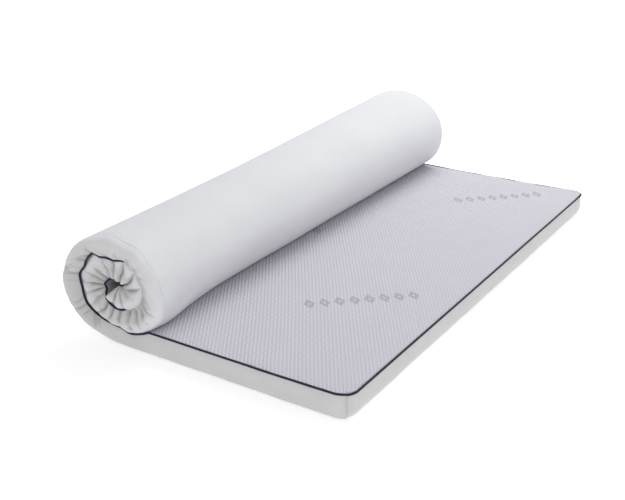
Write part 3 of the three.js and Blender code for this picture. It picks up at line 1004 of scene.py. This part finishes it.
CORE_INSET, LINER_INSET = 0.014, 0.0105  # from the cover's outline
CORE_LOW, CORE_HIGH = 0.0030, 0.0575
LINER_LOW, LINER_HIGH = 0.0020, 0.0586
CORE_HEAD, LINER_HEAD = 0.25, 0.12  # turn by which each ends before the cover, in radians
LAYER_LINE, LAYER_GAP = 0.0322, 0.0003  # height at which the foams meet, half the air there
LINER_CLOTH = 0.0008


def add_cores():
    pieces = []
    s = stations(0.012, start=-HEAD_TURN + CORE_HEAD, stop=FOOT - CORE_INSET)
    y = spread(-HALF + CORE_INSET, HALF - CORE_INSET, step=0.05, edge_step=0.012, edge=0.06)
    station, side = grid(s, y)
    cloth = np.stack([length_at(station), side], -1)
    layers = (
        ("support_foam", CORE_LOW, LAYER_LINE - LAYER_GAP, SUPPORT, "base_foam"),
        ("memory_foam", LAYER_LINE + LAYER_GAP, CORE_HIGH, MEMORY, "memory_foam"),
    )
    for name, low, high, material, slot in layers:
        top, bottom = place(station, side, high), place(station, side, low)
        core = add_closed(f"{name}_core", top, bottom, cloth, material)
        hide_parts(name, f"{name}_foot")
        pieces.append(core)
    return pieces


def add_liner():
    """A sleeve round both foams: a ring of points in each cross-section, with its ends tucked shut."""
    s = stations(0.012, start=-HEAD_TURN + LINER_HEAD, stop=FOOT - LINER_INSET)
    half = HALF - LINER_INSET
    y = spread(-half, half, step=0.05, edge_step=0.010, edge=0.06)
    low, high = np.full(len(y), LINER_LOW), np.full(len(y), LINER_HIGH)
    rise = mix(LINER_LOW, LINER_HIGH, np.linspace(0, 1, 6)[1:-1])
    fall = mix(LINER_HIGH, LINER_LOW, np.linspace(0, 1, 6)[1:-1])
    ring_y = np.concatenate([y, np.full(len(rise), half), y[::-1], np.full(len(fall), -half), y[:1]])
    ring_h = np.concatenate([low, rise, high, fall, low[:1]])
    station, side = grid(s, ring_y)
    height = np.broadcast_to(ring_h, station.shape)
    points = place(station, side, height)
    middle = place(station, side * (1 - LINER_CLOTH / half), mix(height, THICK / 2, 0.03))
    around = np.concatenate([[0], np.cumsum(np.hypot(np.diff(ring_y), np.diff(ring_h)))])
    cloth = np.stack([length_at(station), np.broadcast_to(around, station.shape)], -1)
    liner = add_closed("inner_liner_sleeve", points, middle, cloth, LINER, flip=True)
    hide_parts("inner_liner", "inner_liner_foot")
    return liner


# -------- the zip and the label

COIL_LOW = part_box("zip_coil_lower_foot")
COIL_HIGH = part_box("zip_coil_upper_foot")
COIL_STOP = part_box("zip_stop_foot")[0].x - LINE_X
STOP_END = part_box("zip_stop_foot")[1].x - LINE_X
COIL_BEAD = 0.0024  # pitch of the coil's turns
COIL_THICKEST = 0.0013
TAPE_INSET = 0.0006  # behind the CAD tape's face, so that the slider runs clear
TAPE_CLOTH = 0.0007
TAPE_AIR = 0.0001  # from each closed tape to the line between them


def add_zip_tapes():
    """The tapes' woven edges. Past the foot stop they close up, as no coil holds them apart there."""
    pieces = []
    closed = smooth(STOP_END, STOP_END + 0.004, stations(0.004))[:, None]
    between = (TAPE_LOW[1].z + TAPE_HIGH[0].z) / 2
    share = np.linspace(0, 1, 4)
    for band, box, inner, edge in (("lower", TAPE_LOW, 1, -TAPE_AIR), ("upper", TAPE_HIGH, 0, TAPE_AIR)):
        station, height = grid(stations(0.004), mix(box[0].z, box[1].z, share))
        height = height + closed * (1 - np.abs(inner - share)) * (between + edge - box[inner].z)
        points = side_edge(1, station, box[1].y - HALF - TAPE_INSET, height)
        cloth = np.stack([length_at(station), height], -1)
        tape = add_cloth(f"zip_tape_{band}_strip", points, cloth, TAPE_CLOTH, TAPE, flip=True)
        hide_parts(f"zip_tape_{band}", f"zip_tape_{band}_foot")
        pieces.append(tape)
    return pieces


def add_zip_coils():
    """Each coil is a cord with a bulge at every turn of its nylon wire."""
    pieces = []
    s = stations(COIL_BEAD / 4, start=-HEAD_TURN + 0.5, stop=COIL_STOP - 0.001)
    bead = 0.5 + 0.5 * np.cos(math.pi / 2 * np.arange(len(s)))
    for band, box, phase in (("lower", COIL_LOW, 0), ("upper", COIL_HIGH, 2)):
        middle = (box[0].z + box[1].z) / 2
        radius = (box[1].z - box[0].z) / 2
        path = side_edge(1, s, (box[0].y + box[1].y) / 2 - HALF, middle)
        size = radius * mix(0.62, 0.98, np.roll(bead, phase))
        size = np.minimum(size, COIL_THICKEST)
        coil = add_cord(f"zip_coil_{band}_beads", path, size, (0, 1, 0), COIL)
        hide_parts(f"zip_coil_{band}", f"zip_coil_{band}_foot")
        pieces.append(coil)
    return pieces


def finish_zip_metal():
    """The slider, pull and stops are the CAD's own solids, with rounded edges."""
    for name in ("zip_slider", "zip_pull", "zip_stop_foot", "zip_stop_head"):
        part = frame["nodes"][name]
        bevel = part.modifiers.new("rounded_edges", "BEVEL")
        bevel.width = 0.0002
        bevel.segments = 2
        bevel.limit_method = "ANGLE"
        for index in range(len(part.material_slots)):
            part.material_slots[index].material = METAL
        if not part.material_slots:
            part.data.materials.append(METAL)


LABEL_WIDE = 0.050
LABEL_SHIFT = 0.0225  # at the far side, from the CAD label's x to its station
LABEL_OUT, LABEL_CURL = 0.0034, 0.0022
LABEL_CLOTH = 0.0005


def add_label():
    """A blank woven label sewn on by its upper edge, which curls away from the wall below."""
    low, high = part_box("care_label")
    middle = (low.x + high.x) / 2 - LINE_X + LABEL_SHIFT
    s = middle + np.linspace(-LABEL_WIDE / 2, LABEL_WIDE / 2, 21)
    station, v = grid(s, np.linspace(0, 1, 13))
    outset = LABEL_OUT + LABEL_CURL * (1 - v) ** 2 + 0.0006 * seam_noise(station / 0.02, v * 2)
    height = mix(low.z + 0.004, high.z + 0.003, v)
    points = side_edge(1, station, outset, height)
    cloth = np.stack([station, height], -1)
    label = add_cloth("care_label_blank", points, cloth, LABEL_CLOTH, LABEL, flip=True)
    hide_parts("care_label")
    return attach(label, "main_section")


# -------- floor, light, camera


def add_stage():
    mesh = bpy.data.meshes.new("floor")
    reach, height = 30.0, -0.0005
    corners = [(x * reach, y * reach, height) for x, y in ((-1, -1), (1, -1), (1, 1), (-1, 1))]
    mesh.from_pydata(corners, [], [(0, 1, 2, 3)])
    floor = add_object("floor", mesh)
    material = bpy.data.materials.new("floor_paper")
    material.use_nodes = True
    paper = material.node_tree.nodes["Principled BSDF"].inputs
    paper["Base Color"].default_value = (0.93, 0.93, 0.94, 1)
    paper["Roughness"].default_value = 0.95
    paper["Specular IOR Level"].default_value = 0.1
    paper["Emission Color"].default_value = (1, 1, 1, 1)
    paper["Emission Strength"].default_value = 0.34
    mesh.materials.append(material)


def add_light(name, position, target, size, power):
    light = bpy.data.lights.new(name, "AREA")
    light.shape = "DISK"
    light.size = size
    light.energy = power
    lamp = add_object(name, light)
    lamp.location = position
    lamp.rotation_euler = (Vector(target) - Vector(position)).to_track_quat("-Z", "Y").to_euler()


def add_lights():
    world = bpy.data.worlds.new("studio")
    world.use_nodes = True
    background = world.node_tree.nodes["Background"].inputs
    background["Color"].default_value = (1.0, 1.0, 1.0, 1)
    background["Strength"].default_value = 0.70
    bpy.context.scene.world = world
    add_light("overhead", (-0.2, 2.1, 2.9), target=(0.1, 0.6, 0), size=2.4, power=72)
    add_light("front", (2.6, -2.6, 1.6), target=(0.2, 0, 0.05), size=2.0, power=15)
    bpy.context.scene.view_settings.view_transform = "Standard"


CAMERA_PLACE = (1.2327, -2.1507, 1.0593)
CAMERA_AZIMUTH = math.radians(32.647)
CAMERA_ELEVATION = math.radians(22.621)
CAMERA_LENS, CAMERA_SENSOR = 54.15, 36  # millimetres


def add_camera():
    data = bpy.data.cameras.new("camera")
    data.lens = CAMERA_LENS
    data.sensor_width = CAMERA_SENSOR
    camera = add_object("camera", data)
    camera.location = CAMERA_PLACE
    level = math.cos(CAMERA_ELEVATION)
    x, y = math.sin(CAMERA_AZIMUTH) * level, -math.cos(CAMERA_AZIMUTH) * level
    back = Vector((x, y, math.sin(CAMERA_ELEVATION)))
    camera.rotation_euler = (-back).to_track_quat("-Z", "Y").to_euler()
    bpy.context.scene.camera = camera


# -------- everything together


def bend_at_fold(piece):
    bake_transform(piece)


crossing = [add_top_panel(), add_bottom_panel(), add_near_border(), add_liner()]
crossing += add_far_borders() + add_piping() + add_cores() + add_zip_tapes() + add_zip_coils()
for piece in crossing:
    bend_at_fold(piece)
add_foot_border()
add_head_border()
add_label()
finish_zip_metal()
add_stage()
add_lights()
add_camera()

bpy.context.view_layer.update()
